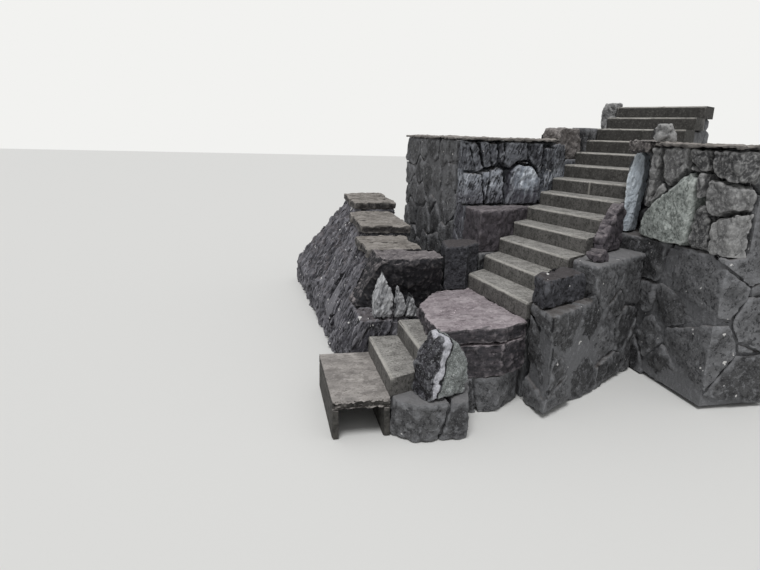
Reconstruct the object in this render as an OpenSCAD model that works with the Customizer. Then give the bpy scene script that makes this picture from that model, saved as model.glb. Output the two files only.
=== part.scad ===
// Outdoor stone steps: a slab over a culvert, two concrete steps, a boulder landing
// and a flight of thirteen turning steps through boulder walls.
// X runs uphill away from the road, Y along the road, Z up from the lowest ground.

/* [Levels] */
// Rise of every step
riser = 165; // [140:1:190]
// Top of the entry slab above the lowest ground
slab_top = 350; // [280:5:450]
// Top of the roadside wall's first bay above the entry slab
roadside_h = 900; // [820:10:1000]
// Rise from one bay of the roadside coping to the next
bay_rise = 125; // [60:5:160]

/* [Entry] */
// Width of the slab and the lower steps along the road
entry_w = 1080; // [900:10:1200]
// Reach of the slab from the road to the first riser
slab_reach = 500; // [420:10:650]
// Thickness of the entry slab
slab_t = 80; // [60:5:110]
// Width of each bearer under the slab
bearer_w = 60; // [50:5:110]
// Depth of the first tread
tread_1 = 300; // [260:5:360]
// Depth of the second tread
tread_2 = 190; // [170:5:240]

/* [Turning flight] */
// Distance from the first riser to the middle of step 4
flight_x = 1310; // [1260:5:1400]
// Sideways place of the middle of step 4
flight_y = 500; // [460:5:540]
// Depth of each tread on the centre line
going = 340; // [310:5:380]
// Direction in which the flight climbs, from straight uphill
heading = 35; // [32:1:38]
// Turn of step 4 from straight uphill
first_turn = 7; // [4:1:10]
// Further turn of each step
step_turn = 2.2; // [1.6:0.1:2.6]
// Width of the flight at step 4
flight_w = 1200; // [1120:10:1240]
// Width of the flight at the top step
flight_top_w = 1240; // [1120:10:1280]
// Bed of each step on the one below
lap = 40; // [25:5:60]
// Radius of the worn nosings
nose_r = 14; // [6:1:24]

/* [Walls] */
// Lean of the roadside wall's face at its near end for each unit of height
batter = 0.40; // [0.36:0.01:0.44]
// Length of each bay of the roadside wall
bay = 1400; // [1100:50:1600]
// Width of the roadside wall's coping
coping_w = 640; // [520:10:720]
// Thickness of the roadside coping
coping_t = 110; // [80:5:140]
// Thickness of the thin cap on the upper walls
cap_t = 40; // [25:5:60]
// Thickness of the upper walls
wall_t = 460; // [380:10:560]
// Width of the masonry beside the flight
flank_w = 420; // [340:10:500]
// Gap at the joints between loose stones
joint = 12; // [6:1:20]
// Width of the masonry on the left of the last steps
crest_flank_w = 300; // [280:10:420]
// Place along the road of the right wall's near end
right_end = -560; // [-680:10:-500]
// Reach of the footing on the right of the landing
footing_reach = 700; // [600:10:740]

/* [Hidden] */

first_main = 4;
last_main = 16;
terrace_step = 13;
ledge_step = 8;
concrete = "#6d675c";
dark_stone = "#3b3a3c";
purple_stone = "#6a5a5e";
pale_stone = "#a7aab0";
grey_stone = "#77777a";

// Height of the top of step k
function level(k) = slab_top + riser * k;
// Unit vector at an angle
function toward(a) = [cos(a), sin(a)];
function turn_of(k) = first_turn + step_turn * (k - first_main);
function centre(k) = [flight_x, flight_y] + going * (k - first_main) * toward(heading);
function width_of(k) =
  flight_w + (flight_top_w - flight_w) * (k - first_main) / (last_main - first_main);
// Point on the edge of the flight at nosing k: side 1 is the left, -1 the right,
// out is the distance beyond the edge and back the distance behind the nosing
function edge(k, side, back = 0, out = 0) =
  centre(k) + back * toward(turn_of(k))
  + side * (width_of(k) / 2 + out) * toward(turn_of(k) + 90);

nose_2 = tread_1;
nose_3 = tread_1 + tread_2;
half_entry = entry_w / 2;
terrace_top = level(terrace_step);

// A straight-sided solid on the ground or at a height, from its outline in plan
module mass(outline, low, high) {
  translate([0, 0, low]) linear_extrude(height = high - low) polygon(outline);
}

// A solid through rings that have as many corners each, given as [outline, height],
// with each outline drawn anticlockwise as seen from above
module layered(rings) {
  n = len(rings[0][0]);
  top = n * (len(rings) - 1);
  points = [for (r = rings, p = r[0]) [p[0], p[1], r[1]]];
  faces = concat(
    [[for (i = [0:n - 1]) i]],
    [for (r = [0:len(rings) - 2], i = [0:n - 1]) [n * r + i, n * r + n + i, n * r + n + (i + 1) % n]],
    [for (r = [0:len(rings) - 2], i = [0:n - 1]) [n * r + i, n * r + n + (i + 1) % n, n * r + (i + 1) % n]],
    [[for (i = [n - 1:-1:0]) top + i]]
  );
  polyhedron(points, faces);
}

// An outline drawn in towards its middle
function middle(outline) = [for (p = outline) 1] * outline / len(outline);
function inward(outline, by) =
  [for (p = outline) p - by * (p - middle(outline)) / norm(p - middle(outline))];

// A hewn stone: upright sides, with its upper and lower edges worn back
module hewn(outline, low, high, ease, low_ease = 0) {
  layered(concat(
    low_ease > 0 ? [[inward(outline, low_ease), low]] : [],
    [[outline, low + low_ease], [outline, high - ease], [inward(outline, ease), high]]
  ));
}

// A rough block stone: a box whose eight corners are broken off by uneven cuts
module rough_block(size, seed, low_cut = 0.12, high_cut = 0.36) {
  cuts = rands(low_cut, high_cut, 24, seed);
  least = min(size);
  signs = [for (x = [0, 1], y = [0, 1], z = [0, 1]) [x, y, z]];
  hull() polyhedron(
    points = [for (c = [0:7], a = [0:2])
      [for (i = [0:2])
        size[i] * signs[c][i]
        + (i == a ? (1 - 2 * signs[c][i]) * cuts[3 * c + a] * max(least, 0.6 * size[i]) : 0)]],
    faces = [for (i = [0:21]) [i, i + 1, i + 2]]
  );
}

module stone(at, size, turn = 0, seed = 1, low_cut = 0.12, high_cut = 0.36) {
  translate(at) rotate(turn) rough_block(size, seed, low_cut, high_cut);
}

// Outline points along one side of the flight between two nosings
function side_line(from, to, side, out = 0) = [for (k = [from:to]) edge(k, side, 0, out)];
function backwards(points) = [for (i = [len(points) - 1:-1:0]) points[i]];
// Point on the side of the flight where the bed of step k ends
function bed(k, side) = edge(k, side) + lap / going * (edge(k + 1, side) - edge(k, side));

// Right-hand ends of the lower steps, cut back where the toe boulder lies against them
toe_slope = 0.43;
toe_start = 200;
function lower_right(x) = [x, -half_entry + 40 + toe_slope * x];

// The landing stone's outline, from its road edge round to the foot of step 4
landing_near = [[nose_3 + 300, -250], [nose_3 + 610, -270]];
landing_far = [[nose_3 + 30, half_entry + 20], [nose_3 + 310, 990], [nose_3 + 600, 1090]];
landing_outline = concat(
  landing_far, [bed(first_main, 1), bed(first_main, -1)],
  backwards(landing_near), [lower_right(nose_3), [nose_3 - 30, 80]]
);

// Corner of the terrace wall and the flight's left wall, and the ledge before it
ledge_run = [300, 90];
wall_run = [1060, 105];
ledge_corner = edge(6, 1) - ledge_run;
wall_foot_end = edge(ledge_step + 1, 1);
wall_corner = wall_foot_end - wall_run;
left_rear = [for (k = [terrace_step, 11, 9]) edge(k, 1, 0, wall_t)];
back_corner = wall_corner + [0, wall_t];
// Rise of the left wall's rear across the end of the terrace wall
rear_rise = wall_t * (left_rear[2][1] - back_corner[1]) / (left_rear[2][0] - back_corner[0]);
// Underside of the cap on the upper walls
cap_seat = terrace_top - cap_t;
// Depth of the face stones, which stand on shelves before the upper walls
face_d = 240;
left_face_l = norm(wall_foot_end - wall_corner);
left_face_h = cap_seat - level(ledge_step);
// Seat of the crest boulder at the end of the left wall, and its distance from the steps
crest_seat = level(11) + 60;
crest_d = 0.7 * face_d;

// Face of the right-hand wall, which meets the flank beside step 9
right_foot = edge(9, -1, 0, flank_w);
right_x = right_foot[0];
right_shelf = level(7);
right_corner = right_foot + [0, 200];
right_face_l = right_corner[1] - right_end;
right_face_h = cap_seat - right_shelf;
// Step beside which the right flank rises by two courses
flank_step = 6;
// Point beside step 9: x along the side of the flight, y to its left
function beside(x, y) =
  let (u = (edge(10, -1) - edge(9, -1)) / norm(edge(10, -1) - edge(9, -1)))
  edge(9, -1) + x * u + y * [-u[1], u[0]];

// How far the copings stand out of their walls, and their worn upper edges
lip = 20;
coping_wear = 15;

// Places along the top of the roadside wall
coping_start = half_entry + 310;
boulder_l = 500;
boulder_back = coping_start + boulder_l;
// Face of the roadside wall at a place along it and a height: upright as far as the slab's top,
// then leaning back, and more so further along
face_start = -200;
face_skew = -0.055;
batter_gain = 0.000092;
function face_x(y, z) =
  let (run = y - half_entry)
  face_start + face_skew * run + (batter + batter_gain * run) * max(0, z - slab_top);
function bay_top(i) = slab_top + roadside_h + bay_rise * i;
function bay_y(i) = coping_start + bay * i;
// Upper edge of the face under the coping of one bay
function under_coping(i, y) = face_x(y, bay_top(i) - coping_t);
far_end = bay_y(3);
// Corner boulder in plan from its near corner: its body, and its foot beside the landing,
// which starts further in. Its side on the road follows the face of the wall.
corner_body = [[0, 0], [310, -60], [720, 10], [745, 180], [720, boulder_l]];
corner_foot = [[250, 90], [320, 40], [570, 120], [745, 205], [720, boulder_l]];
corner_heel = [165, 60];
corner_round = 60;
corner_side_y = coping_start + 150;

// Front corner of the post stone on the landing's far edge, and its place beside step 4
post_front = landing_far[1] + 0.45 * (landing_far[2] - landing_far[1]);
post_side = edge(first_main, 1) + 0.6 * (edge(first_main + 1, 1) - edge(first_main, 1));
post_h = 90;
// Height of the block stone beside step 5
block_h = 270;
// Reach of the corner's masonry behind the ledge
corner_reach = 110;

// Length, depth and height of the single stones
crest_size = [540, 300, 420];
low_size = [205, 165, 110];
perched_size = [330, 290, 125];
perched_at = [20, 20 - perched_size[1]];
perched_seat = terrace_top - 110;
perched_clear = [perched_at[0] + perched_size[0] + joint, perched_at[1] - joint];
wall_top_size = [190, 170, 190];
last_size = [300, 250, 390];
// Upright stones drawn from the front: X along, Y up from the stone's seat
toe_outline = [[0, 0], [420, 0], [440, 230], [370, 390], [240, 540], [150, 550], [0, 300]];
toe_d = 290;
toe_worn = 40;
toe_turn = atan(toe_slope) - 6;
dark_outline = [[110, 0], [625, 0], [625, 460], [560, 500], [470, 490], [300, 330], [150, 150]];
dark_d = 135;
// Wedge stones under the corner boulder, from the landing's corner towards the road
wedge_outlines = [
  [[-460, 0], [-250, 0], [-235, 180], [-360, 470], [-460, 240]],
  [[-236, 0], [-140, 0], [-110, 120], [-200, 330], [-224, 190]],
  [[-126, 0], [0, 0], [0, 60], [-60, 250], [-98, 130]]
];
wedge_d = 190;
// Pale slab: left and right edges and height of each course, as seen from the road
pale_courses = [[-30, 75, 0], [-42, 120, 430], [-38, 143, 700], [5, 125, 840],
  [46, 85, perched_seat - right_shelf]];
pale_at = [80, -45];
pale_d = 170;
// Direction of the pale slab's front across the road's view
pale_turn = -12;
// Stones of the left wall's face: each outline in shares of the face's length and height
left_stones = [
  [[0, 0], [0.253, 0], [0.206, 0.48], [0, 0.51]],
  [[0.258, 0.045], [0.282, 0.045], [0.315, 0.54], [0.22, 0.51]],
  [[0.291, 0], [0.507, 0], [0.507, 0.54], [0.422, 0.61], [0.329, 0.54]],
  [[0, 0.54], [0.11, 0.54], [0.01, 0.97], [0, 0.97]],
  [[0.127, 0.54], [0.213, 0.55], [0.131, 0.99], [0.02, 0.99]],
  [[0.23, 0.565], [0.319, 0.575], [0.253, 0.99], [0.146, 0.99]],
  [[0.333, 0.59], [0.413, 0.64], [0.375, 0.99], [0.268, 0.99]],
  [[0.427, 0.64], [0.488, 0.665], [0.469, 0.99], [0.39, 0.99]],
  [[0.502, 0.64], [0.563, 0.575], [0.667, 0.69], [0.789, 0.715], [0.779, 0.99], [0.484, 0.99]],
  [[0.69, 0.65], [0.84, 0.64], [0.825, 0.685], [0.72, 0.685]],
  [[0.807, 0.72], [0.864, 0.655], [0.985, 0.51], [0.995, 0.99], [0.793, 0.99]]
];
streaked_outline = [[0.526, 0], [0.967, 0], [0.977, 0.445], [0.864, 0.61], [0.676, 0.64], [0.563, 0.54]];
// The same for the right wall's face
right_stones = [
  [[0.074, 0.345], [0.25, 0.54], [0.191, 0.63], [0.096, 0.495]],
  [[0.206, 0.645], [0.269, 0.57], [0.453, 0.775], [0.442, 0.99], [0.147, 0.99]],
  [[0.015, 0.295], [0.066, 0.355], [0.088, 0.525], [0.125, 0.99], [0.015, 0.99]],
  [[0.464, 0.865], [0.589, 0.785], [0.67, 0.795], [0.655, 0.99], [0.457, 0.99]],
  [[0.46, 0.8], [0.515, 0.75], [0.578, 0.757], [0.479, 0.836]],
  [[0.608, 0.485], [0.674, 0.495], [0.666, 0.753], [0.593, 0.753]],
  [[0.589, 0], [0.773, 0], [0.766, 0.315], [0.685, 0.463], [0.608, 0.453]],
  [[0.792, 0], [0.987, 0], [0.987, 0.42], [0.784, 0.325]],
  [[0.696, 0.485], [0.777, 0.347], [0.98, 0.453], [0.98, 0.653], [0.689, 0.716]],
  [[0.685, 0.757], [0.98, 0.69], [0.98, 0.99], [0.674, 0.99]]
];
wavy_outline = [[0.015, 0], [0.567, 0], [0.589, 0.473], [0.574, 0.695], [0.479, 0.747], [0.015, 0.232]];
// How far the two biggest stones and the others stand out of their walls, and their worn edges,
// then those of the boulders round the flight
proud = 30;
uneven_out = rands(-15, 15, len(left_stones), 9);
worn = 22;
boulder_wear = 25;

// Entry

module entry_slab() {
  color("#8b8880") mass(
    [[-slab_reach, -half_entry], [0, -half_entry], [0, half_entry], [-slab_reach, half_entry]],
    slab_top - slab_t, slab_top);
}

module bearer(x) {
  color(concrete) translate([x, -half_entry, 0]) cube([bearer_w, entry_w, slab_top - slab_t]);
}

module road_bearer() { bearer(-slab_reach); }

module wall_bearer() { bearer(-bearer_w); }

module lower_footing() {
  color(dark_stone) mass(concat(
    [[0, half_entry], [0, -half_entry], [170, -footing_reach], [640, -footing_reach]],
    landing_near, [bed(first_main, -1), bed(first_main, 1)], backwards(landing_far)
  ), 0, slab_top);
}

// A step's body with a rounded nosing along its front edge, front at x = 0
module nosed_body(depth, width) {
  translate([0, width / 2, 0]) rotate([90, 0, 0]) linear_extrude(height = width) union() {
    translate([nose_r, 0]) square([depth - nose_r, riser]);
    square([2 * nose_r, riser - nose_r]);
    translate([nose_r, riser - nose_r]) circle(nose_r, $fn = 32);
  }
}

module lower_step(k, nose_x, depth) {
  color(concrete) translate([0, 0, level(k - 1)]) intersection() {
    linear_extrude(height = riser) polygon([
      [nose_x, half_entry], lower_right(nose_x), lower_right(nose_x + depth),
      [nose_x + depth, half_entry]
    ]);
    translate([nose_x, 0, 0]) nosed_body(depth, 2 * entry_w);
  }
}

module step_01() { lower_step(1, 0, tread_1 + lap); }

module step_02() { lower_step(2, tread_1, tread_2 + lap); }

// Landing

module landing_base() {
  color(dark_stone) {
    mass(concat(
      [[nose_3 + lap, half_entry], lower_right(nose_3 + lap)],
      landing_near, [bed(first_main, -1), bed(first_main, 1)], backwards(landing_far)
    ), slab_top, level(2));
    mass([[nose_2 + lap, half_entry], lower_right(nose_2 + lap), lower_right(nose_3 + lap),
      [nose_3 + lap, half_entry]], slab_top, level(1));
  }
}

module landing_stone() {
  color(purple_stone) hewn(backwards(landing_outline), level(2), level(3), nose_r);
}

// Turning flight

module main_step(k) {
  color(concrete) translate([0, 0, level(k - 1)]) intersection() {
    linear_extrude(height = riser) polygon([
      edge(k, 1), edge(k + 1, 1), bed(k + 1, 1), bed(k + 1, -1), edge(k + 1, -1), edge(k, -1)
    ]);
    translate(centre(k)) rotate(turn_of(k)) nosed_body(3 * going, 2 * flight_w);
  }
}

module step_04() { main_step(4); }
module step_05() { main_step(5); }
module step_06() { main_step(6); }
module step_07() { main_step(7); }
module step_08() { main_step(8); }
module step_09() { main_step(9); }
module step_10() { main_step(10); }
module step_11() { main_step(11); }
module step_12() { main_step(12); }
module step_13() { main_step(13); }
module step_14() { main_step(14); }
module step_15() { main_step(15); }
module step_16() { main_step(16); }

// The masonry under the flight, one stage behind the bed of each step
module flight_core() {
  color(dark_stone) for (k = [first_main:last_main])
    mass(concat([bed(k, 1)], side_line(k + 1, last_main + 1, 1), [bed(last_main + 1, 1)],
      [bed(last_main + 1, -1)], backwards(side_line(k + 1, last_main + 1, -1)), [bed(k, -1)]),
      k == first_main ? 0 : level(k - 2), level(k - 1));
}

// Masonry beside the flight

module corner_base() {
  back = ledge_corner[1] + corner_reach;
  beside_post = [landing_far[2], bed(first_main, 1), post_side, ledge_corner,
    [ledge_corner[0] - 90, back]];
  inner = [for (y = [back, boulder_back]) [under_coping(0, y) + coping_w, y]];
  rest = concat([landing_far[0], landing_far[1]], beside_post, inner);
  color(dark_stone) {
    layered([for (z = [0, slab_top, level(2)])
      [concat([[face_x(boulder_back, z), boulder_back], [face_x(half_entry, z), half_entry]], rest), z]]);
    mass(concat([post_front], beside_post, [[post_front[0], back]]), level(2), level(3));
  }
}

module left_flank() {
  color(dark_stone) mass(concat([post_side], side_line(first_main + 1, ledge_step + 1, 1),
    [wall_corner, ledge_corner]), 0, level(5));
}

// One stage of the right flank, from a point beside a nosing to the right wall
module right_flank_stage(near, from, low, high) {
  mass(concat([near], side_line(from, ledge_step + 1, -1, flank_w),
    backwards(side_line(from + 1, ledge_step + 1, -1))), low, high);
}

module right_flank() {
  color(dark_stone) {
    right_flank_stage(bed(first_main, -1), first_main, 0, level(4));
    right_flank_stage(edge(flank_step, -1), flank_step, level(4), level(6));
  }
}

// Roadside wall

module roadside_bay(i) {
  near = i == 0 ? boulder_back : bay_y(i);
  far = bay_y(i + 1);
  color(dark_stone) layered([for (z = [0, slab_top, bay_top(i) - coping_t]) [[
    [face_x(near, z), near], [under_coping(i, near) + coping_w, near],
    [under_coping(i, far) + coping_w, far], [face_x(far, z), far]], z]]);
}

module roadside_wall_near() { roadside_bay(0); }
module roadside_wall_middle() { roadside_bay(1); }
module roadside_wall_far() { roadside_bay(2); }

// Flat stones along the top of one bay, with open joints between them
module roadside_coping(i, count) {
  near = i == 0 ? boulder_back : bay_y(i);
  span = (bay_y(i + 1) - near) / count;
  uneven = rands(-18, 18, 2 * count, 40 + i);
  color(purple_stone) for (n = [0:count - 1]) {
    y0 = near + span * n;
    y1 = y0 + span - joint;
    near_x = under_coping(i, y0);
    far_x = under_coping(i, y1);
    hewn([[near_x - lip + uneven[n], y0], [near_x + coping_w + uneven[n + count], y0],
      [far_x + coping_w + uneven[n], y1], [far_x - lip + uneven[n + count], y1]],
      bay_top(i) - coping_t, bay_top(i), coping_wear);
  }
}

module roadside_coping_near() { roadside_coping(0, 2); }
module roadside_coping_middle() { roadside_coping(1, 3); }
module roadside_coping_far() { roadside_coping(2, 3); }

// Boulders round the landing

// The corner boulder's outline at one height, from its near corner round to its side on the road
function corner_ring(points, z) =
  let (corner = [face_x(coping_start, bay_top(0)), coping_start])
  concat([for (p = points) corner + p], [for (y = [boulder_back, corner_side_y]) [face_x(y, z), y]]);

module corner_boulder() {
  heel = concat([corner_heel], [for (i = [1:len(corner_foot) - 1]) corner_foot[i]]);
  shoulder = bay_top(0) - corner_round;
  body = corner_ring(corner_body, shoulder);
  color(purple_stone) layered([
    [corner_ring(corner_foot, level(2)), level(2)],
    [corner_ring(heel, level(3) + joint), level(3) + joint],
    [body, shoulder], [inward(body, boulder_wear), bay_top(0)]
  ]);
}

// A stone standing upright with its front towards -Y, from the outline of its front
module upright(outline, depth, ease) {
  rotate([90, 0, 0]) hewn(outline, 0, depth, ease);
}

module wedge_stones() {
  color(pale_stone) translate([landing_far[0][0], half_entry + 40 + wedge_d, level(2)])
    for (outline = wedge_outlines) upright(outline, wedge_d, worn);
}

module post_stone() {
  color(dark_stone) hewn([post_front, edge(first_main, 1) + [-55, -75], edge(first_main, 1),
    post_side, ledge_corner + [-30, -40], ledge_corner + [-90, 95], post_front + [60, 370]],
    level(3), bay_top(0) + post_h, boulder_wear);
}

module ledge_stone() {
  color(purple_stone) hewn(concat([ledge_corner], side_line(6, ledge_step + 1, 1), [wall_corner]),
    level(5), level(ledge_step), worn);
}

module toe_boulder() {
  color(grey_stone) translate(concat(lower_right(toe_start), [slab_top]))
    rotate(toe_turn) upright(toe_outline, toe_d, toe_worn);
}

// Upper walls

module left_wall() {
  crest = edge(11, 1, 0, crest_d);
  color(dark_stone) {
    mass(concat([wall_corner], side_line(ledge_step + 1, terrace_step, 1), left_rear, [back_corner]),
      0, level(ledge_step));
    mass([wall_corner + [0, face_d], edge(9, 1, 0, face_d), crest, left_rear[1], left_rear[2],
      back_corner], level(ledge_step), cap_seat);
    mass(concat([crest], side_line(12, terrace_step, 1), [left_rear[0], left_rear[1]]),
      level(ledge_step), crest_seat);
  }
}

// Places children in a frame along a wall's foot: X along it, Y into the wall
module along(from, to, height) {
  way = to - from;
  translate(concat(from, [height])) rotate(atan2(way[1], way[0])) children();
}

// A stone of a face, with its outline in shares of the face, that stands out of it by out
module face_stone(outline, face_l, face_h, out = 0) {
  shape = [for (p = outline) [p[0] * face_l, p[1] * face_h]];
  depth = face_d - joint;
  translate([0, depth, 0]) upright(shape, depth + out, worn);
}

module left_wall_boulders() {
  color(dark_stone) along(wall_corner, wall_foot_end, level(ledge_step))
    for (i = [0:len(left_stones) - 1])
      face_stone(left_stones[i], left_face_l, left_face_h, uneven_out[i]);
  // Two tall stones where the face turns up beside steps 9 to 11
  color(dark_stone) for (i = [0, 1]) along(edge(9 + i, 1), edge(11 + i, 1), level(ledge_step))
    stone([110 - 90 * i, 5, 0], [going - 130 + 90 * i, 0.6 * face_d, (0.9 + 0.07 * i) * left_face_h],
      0, 18 + i);
}

module streaked_boulder() {
  color(pale_stone) along(wall_corner, wall_foot_end, level(ledge_step))
    face_stone(streaked_outline, left_face_l, left_face_h, proud);
}

module left_coping() {
  color(purple_stone) hewn([wall_corner - [lip, 10], wall_foot_end - [60, lip],
    edge(11, 1, 0, crest_d - 5 * lip), edge(11, 1, 0, wall_t), edge(9, 1, 0, wall_t),
    back_corner - [lip, 0]], cap_seat, terrace_top, coping_wear);
}

module terrace_wall() {
  color(dark_stone) mass([back_corner, back_corner + [wall_t, rear_rise],
    [back_corner[0] + wall_t, far_end], [back_corner[0], far_end]], 0, cap_seat);
}

module terrace_coping() {
  count = 4;
  near = back_corner[1] + joint;
  span = (far_end - near) / count;
  color(purple_stone) for (i = [0:count - 1]) {
    y0 = near + span * i;
    y1 = y0 + span - joint;
    hewn([[back_corner[0] - lip, y0], [back_corner[0] + wall_t, y0 + (i == 0 ? rear_rise : 0)],
      [back_corner[0] + wall_t, y1], [back_corner[0] - lip, y1]],
      cap_seat, terrace_top, coping_wear);
  }
}

module crest_boulder() {
  color(grey_stone) along(edge(11, 1, 0, crest_d), edge(terrace_step, 1, 0, 40), crest_seat)
    translate([20, 0, 0]) rough_block(crest_size, 31, 0.15, 0.45);
}

// Masonry on the left of the last steps, carrying a boulder
module crest_flank() {
  color(dark_stone) mass(concat(side_line(terrace_step, last_main + 1, 1), [bed(last_main + 1, 1)],
    [edge(last_main + 1, 1, 0, crest_flank_w)],
    backwards(side_line(terrace_step, last_main, 1, crest_flank_w))), 0, level(14));
}

// Stones on the right of the flight

module block_stone() {
  color(dark_stone) hewn([edge(4, -1, 0, 260), edge(6, -1, 0, 300), edge(6, -1), edge(5, -1),
    edge(4, -1) + [60, 40]], level(4), level(4) + block_h, boulder_wear);
}

module flank_boulders() {
  color(dark_stone) along(edge(7, -1), edge(9, -1), level(6)) upright(dark_outline, dark_d, worn);
  color(pale_stone) along(edge(6, -1), edge(7, -1), level(6))
    translate([20, 100 - flank_w, 0]) rough_block(low_size, 28);
}

module pale_slab() {
  way = pale_d * (beside(1, 0) - beside(0, 0));
  color(pale_stone) layered([for (c = pale_courses)
    let (ends = [for (x = [c[0], c[1]]) beside(pale_at[0], pale_at[1]) + x * toward(pale_turn)])
    [[ends[0], ends[1], ends[1] + way, ends[0] + way], right_shelf + c[2]]]);
}

module perched_stone() {
  color(grey_stone) along(edge(9, -1), edge(10, -1), perched_seat)
    translate(perched_at) rough_block(perched_size, 30, 0.1, 0.4);
}

module right_wall() {
  inner = side_line(9, 12, -1);
  back_x = inner[3][0];
  inside = right_x + face_d;
  // The wall is cut out round the end of the perched stone
  notch = beside(perched_clear[0], perched_clear[1]);
  color(dark_stone) {
    mass(concat([[back_x, right_end]], backwards(inner), [right_foot, [right_x, right_end]]),
      0, right_shelf);
    mass([[inside, right_end], [inside, inner[1][1]], inner[2], inner[3], [back_x, right_end]],
      right_shelf, perched_seat);
    mass([[inside, right_end], [inside, notch[1] - 3 * lip], notch, [inside, inner[1][1]],
      inner[2], inner[3], [back_x, right_end]], perched_seat, cap_seat);
  }
}

module right_wall_boulders() {
  color(grey_stone) along(right_corner, [right_x, right_end], right_shelf)
    for (i = [0:len(right_stones) - 1])
      face_stone(right_stones[i], right_face_l, right_face_h, uneven_out[i]);
}

module wavy_boulder() {
  color(grey_stone) along(right_corner, [right_x, right_end], right_shelf)
    face_stone(wavy_outline, right_face_l, right_face_h, proud);
}

module right_coping() {
  front = right_x - lip;
  near_end = beside(perched_at[0], perched_clear[1]);
  color(purple_stone) hewn([[edge(12, -1)[0], right_end], edge(12, -1), edge(11, -1),
    beside(perched_clear[0], 0), beside(perched_clear[0], perched_clear[1]), near_end,
    [front, near_end[1] - 3 * lip], [front, right_end]], cap_seat, terrace_top, coping_wear);
}

module top_boulders() {
  color(grey_stone) {
    translate(concat(right_corner + [35, -190], [terrace_top])) rotate(20)
      rough_block(wall_top_size, 33, 0.15, 0.4);
    along(edge(15, 1), edge(last_main + 1, 1), level(14)) translate([330, 10, 0])
      rough_block(last_size, 34, 0.15, 0.4);
  }
}

entry_slab();
road_bearer();
wall_bearer();
lower_footing();
step_01();
step_02();
landing_base();
landing_stone();
step_04();
step_05();
step_06();
step_07();
step_08();
step_09();
step_10();
step_11();
step_12();
step_13();
step_14();
step_15();
step_16();
flight_core();
corner_base();
left_flank();
right_flank();
roadside_wall_near();
roadside_wall_middle();
roadside_wall_far();
roadside_coping_near();
roadside_coping_middle();
roadside_coping_far();
corner_boulder();
wedge_stones();
post_stone();
ledge_stone();
toe_boulder();
left_wall();
left_wall_boulders();
streaked_boulder();
left_coping();
terrace_wall();
terrace_coping();
crest_boulder();
crest_flank();
block_stone();
flank_boulders();
pale_slab();
perched_stone();
right_wall();
right_wall_boulders();
wavy_boulder();
right_coping();
top_boulders();
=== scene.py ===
# %% [markdown]
# # Outdoor stone steps
#
# This lesson dresses one part: a flight of outdoor steps with the boulder walls that hold it.
# The frame brings in every solid at its true place and size, so nothing here is measured again
# and nothing is moved. What is made here is the surface: the joints between the boulders, the
# broken faces, the worn nosings and the colours.

# %% Load the frame
import math
import random
import bpy
from mathutils import Matrix, Vector


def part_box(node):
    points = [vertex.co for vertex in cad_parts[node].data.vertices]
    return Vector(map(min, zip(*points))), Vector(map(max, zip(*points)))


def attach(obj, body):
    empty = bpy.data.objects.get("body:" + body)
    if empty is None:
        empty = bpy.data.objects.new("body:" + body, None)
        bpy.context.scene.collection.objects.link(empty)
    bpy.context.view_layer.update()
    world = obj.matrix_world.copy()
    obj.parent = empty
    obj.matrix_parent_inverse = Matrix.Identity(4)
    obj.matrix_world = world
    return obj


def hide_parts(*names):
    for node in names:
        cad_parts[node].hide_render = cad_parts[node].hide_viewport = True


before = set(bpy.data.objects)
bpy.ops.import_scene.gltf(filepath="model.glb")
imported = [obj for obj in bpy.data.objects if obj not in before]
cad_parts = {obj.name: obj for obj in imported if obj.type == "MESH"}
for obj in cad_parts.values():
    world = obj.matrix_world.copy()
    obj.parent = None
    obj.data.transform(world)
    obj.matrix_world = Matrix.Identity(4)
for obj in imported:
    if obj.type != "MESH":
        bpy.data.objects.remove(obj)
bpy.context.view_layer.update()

UP = Vector((0, 0, 1))

# %% [markdown]
# ## Working on one thing at a time
#
# Blender's operators act on whatever is selected, and the frame's nodes arrive selected. So each
# step starts by picking one piece. A modifier can be kept live or applied at once. Applying it is
# better here, because the finished piece is then plain mesh that anyone can measure or export.

# %% Pick a piece, and apply a modifier to it
def pick(piece):
    """Selects one piece and nothing else."""
    bpy.ops.object.select_all(action="DESELECT")
    piece.select_set(True)
    bpy.context.view_layer.objects.active = piece


def apply(piece, kind, **settings):
    """Adds one modifier to a piece, sets it and applies it at once."""
    pick(piece)
    modifier = piece.modifiers.new("work", kind)
    for name, value in settings.items():
        setattr(modifier, name, value)
    bpy.ops.object.modifier_apply(modifier=modifier.name)


def joined(pieces):
    """Makes one object of several, and returns it."""
    pick(pieces[0])
    for piece in pieces:
        piece.select_set(True)
    if len(pieces) > 1:
        bpy.ops.object.join()
    return pieces[0]


# %% [markdown]
# ## A rough copy of a solid
#
# A mason starts from a block of about the right size. Here that block is a copy of the solid
# from the frame. Its triangles are loose, so they are merged, and flat neighbours are joined, to
# give clean faces that can be cut.

# %% Copy a solid as a block to carve
MERGE = 0.0002
FLAT = math.radians(0.5)


def rough_copy(node):
    """A copy of a node's solid, with its flat faces whole."""
    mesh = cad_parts[node].data.copy()
    mesh.materials.clear()
    block = bpy.data.objects.new(node + "_block", mesh)
    bpy.context.collection.objects.link(block)
    pick(block)
    bpy.ops.object.mode_set(mode="EDIT")
    bpy.ops.mesh.select_all(action="SELECT")
    bpy.ops.mesh.remove_doubles(threshold=MERGE)
    bpy.ops.mesh.dissolve_limited(angle_limit=FLAT)
    bpy.ops.object.mode_set(mode="OBJECT")
    return block


# %% [markdown]
# ## Cutting and skinning a stone
#
# A split stone is a block with flat pieces knocked off. It could be sculpted, but planes give the
# same crisp faces: bisect takes one side away and fills the cut. A bevel then eases the edges, and
# a voxel remesh covers the stone with even small faces, which the reliefs need. The stone also
# gets a shade of its own, which its colour reads later.

# %% Cut a stone, and give it a skin
EASED_FROM = math.radians(25)


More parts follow.
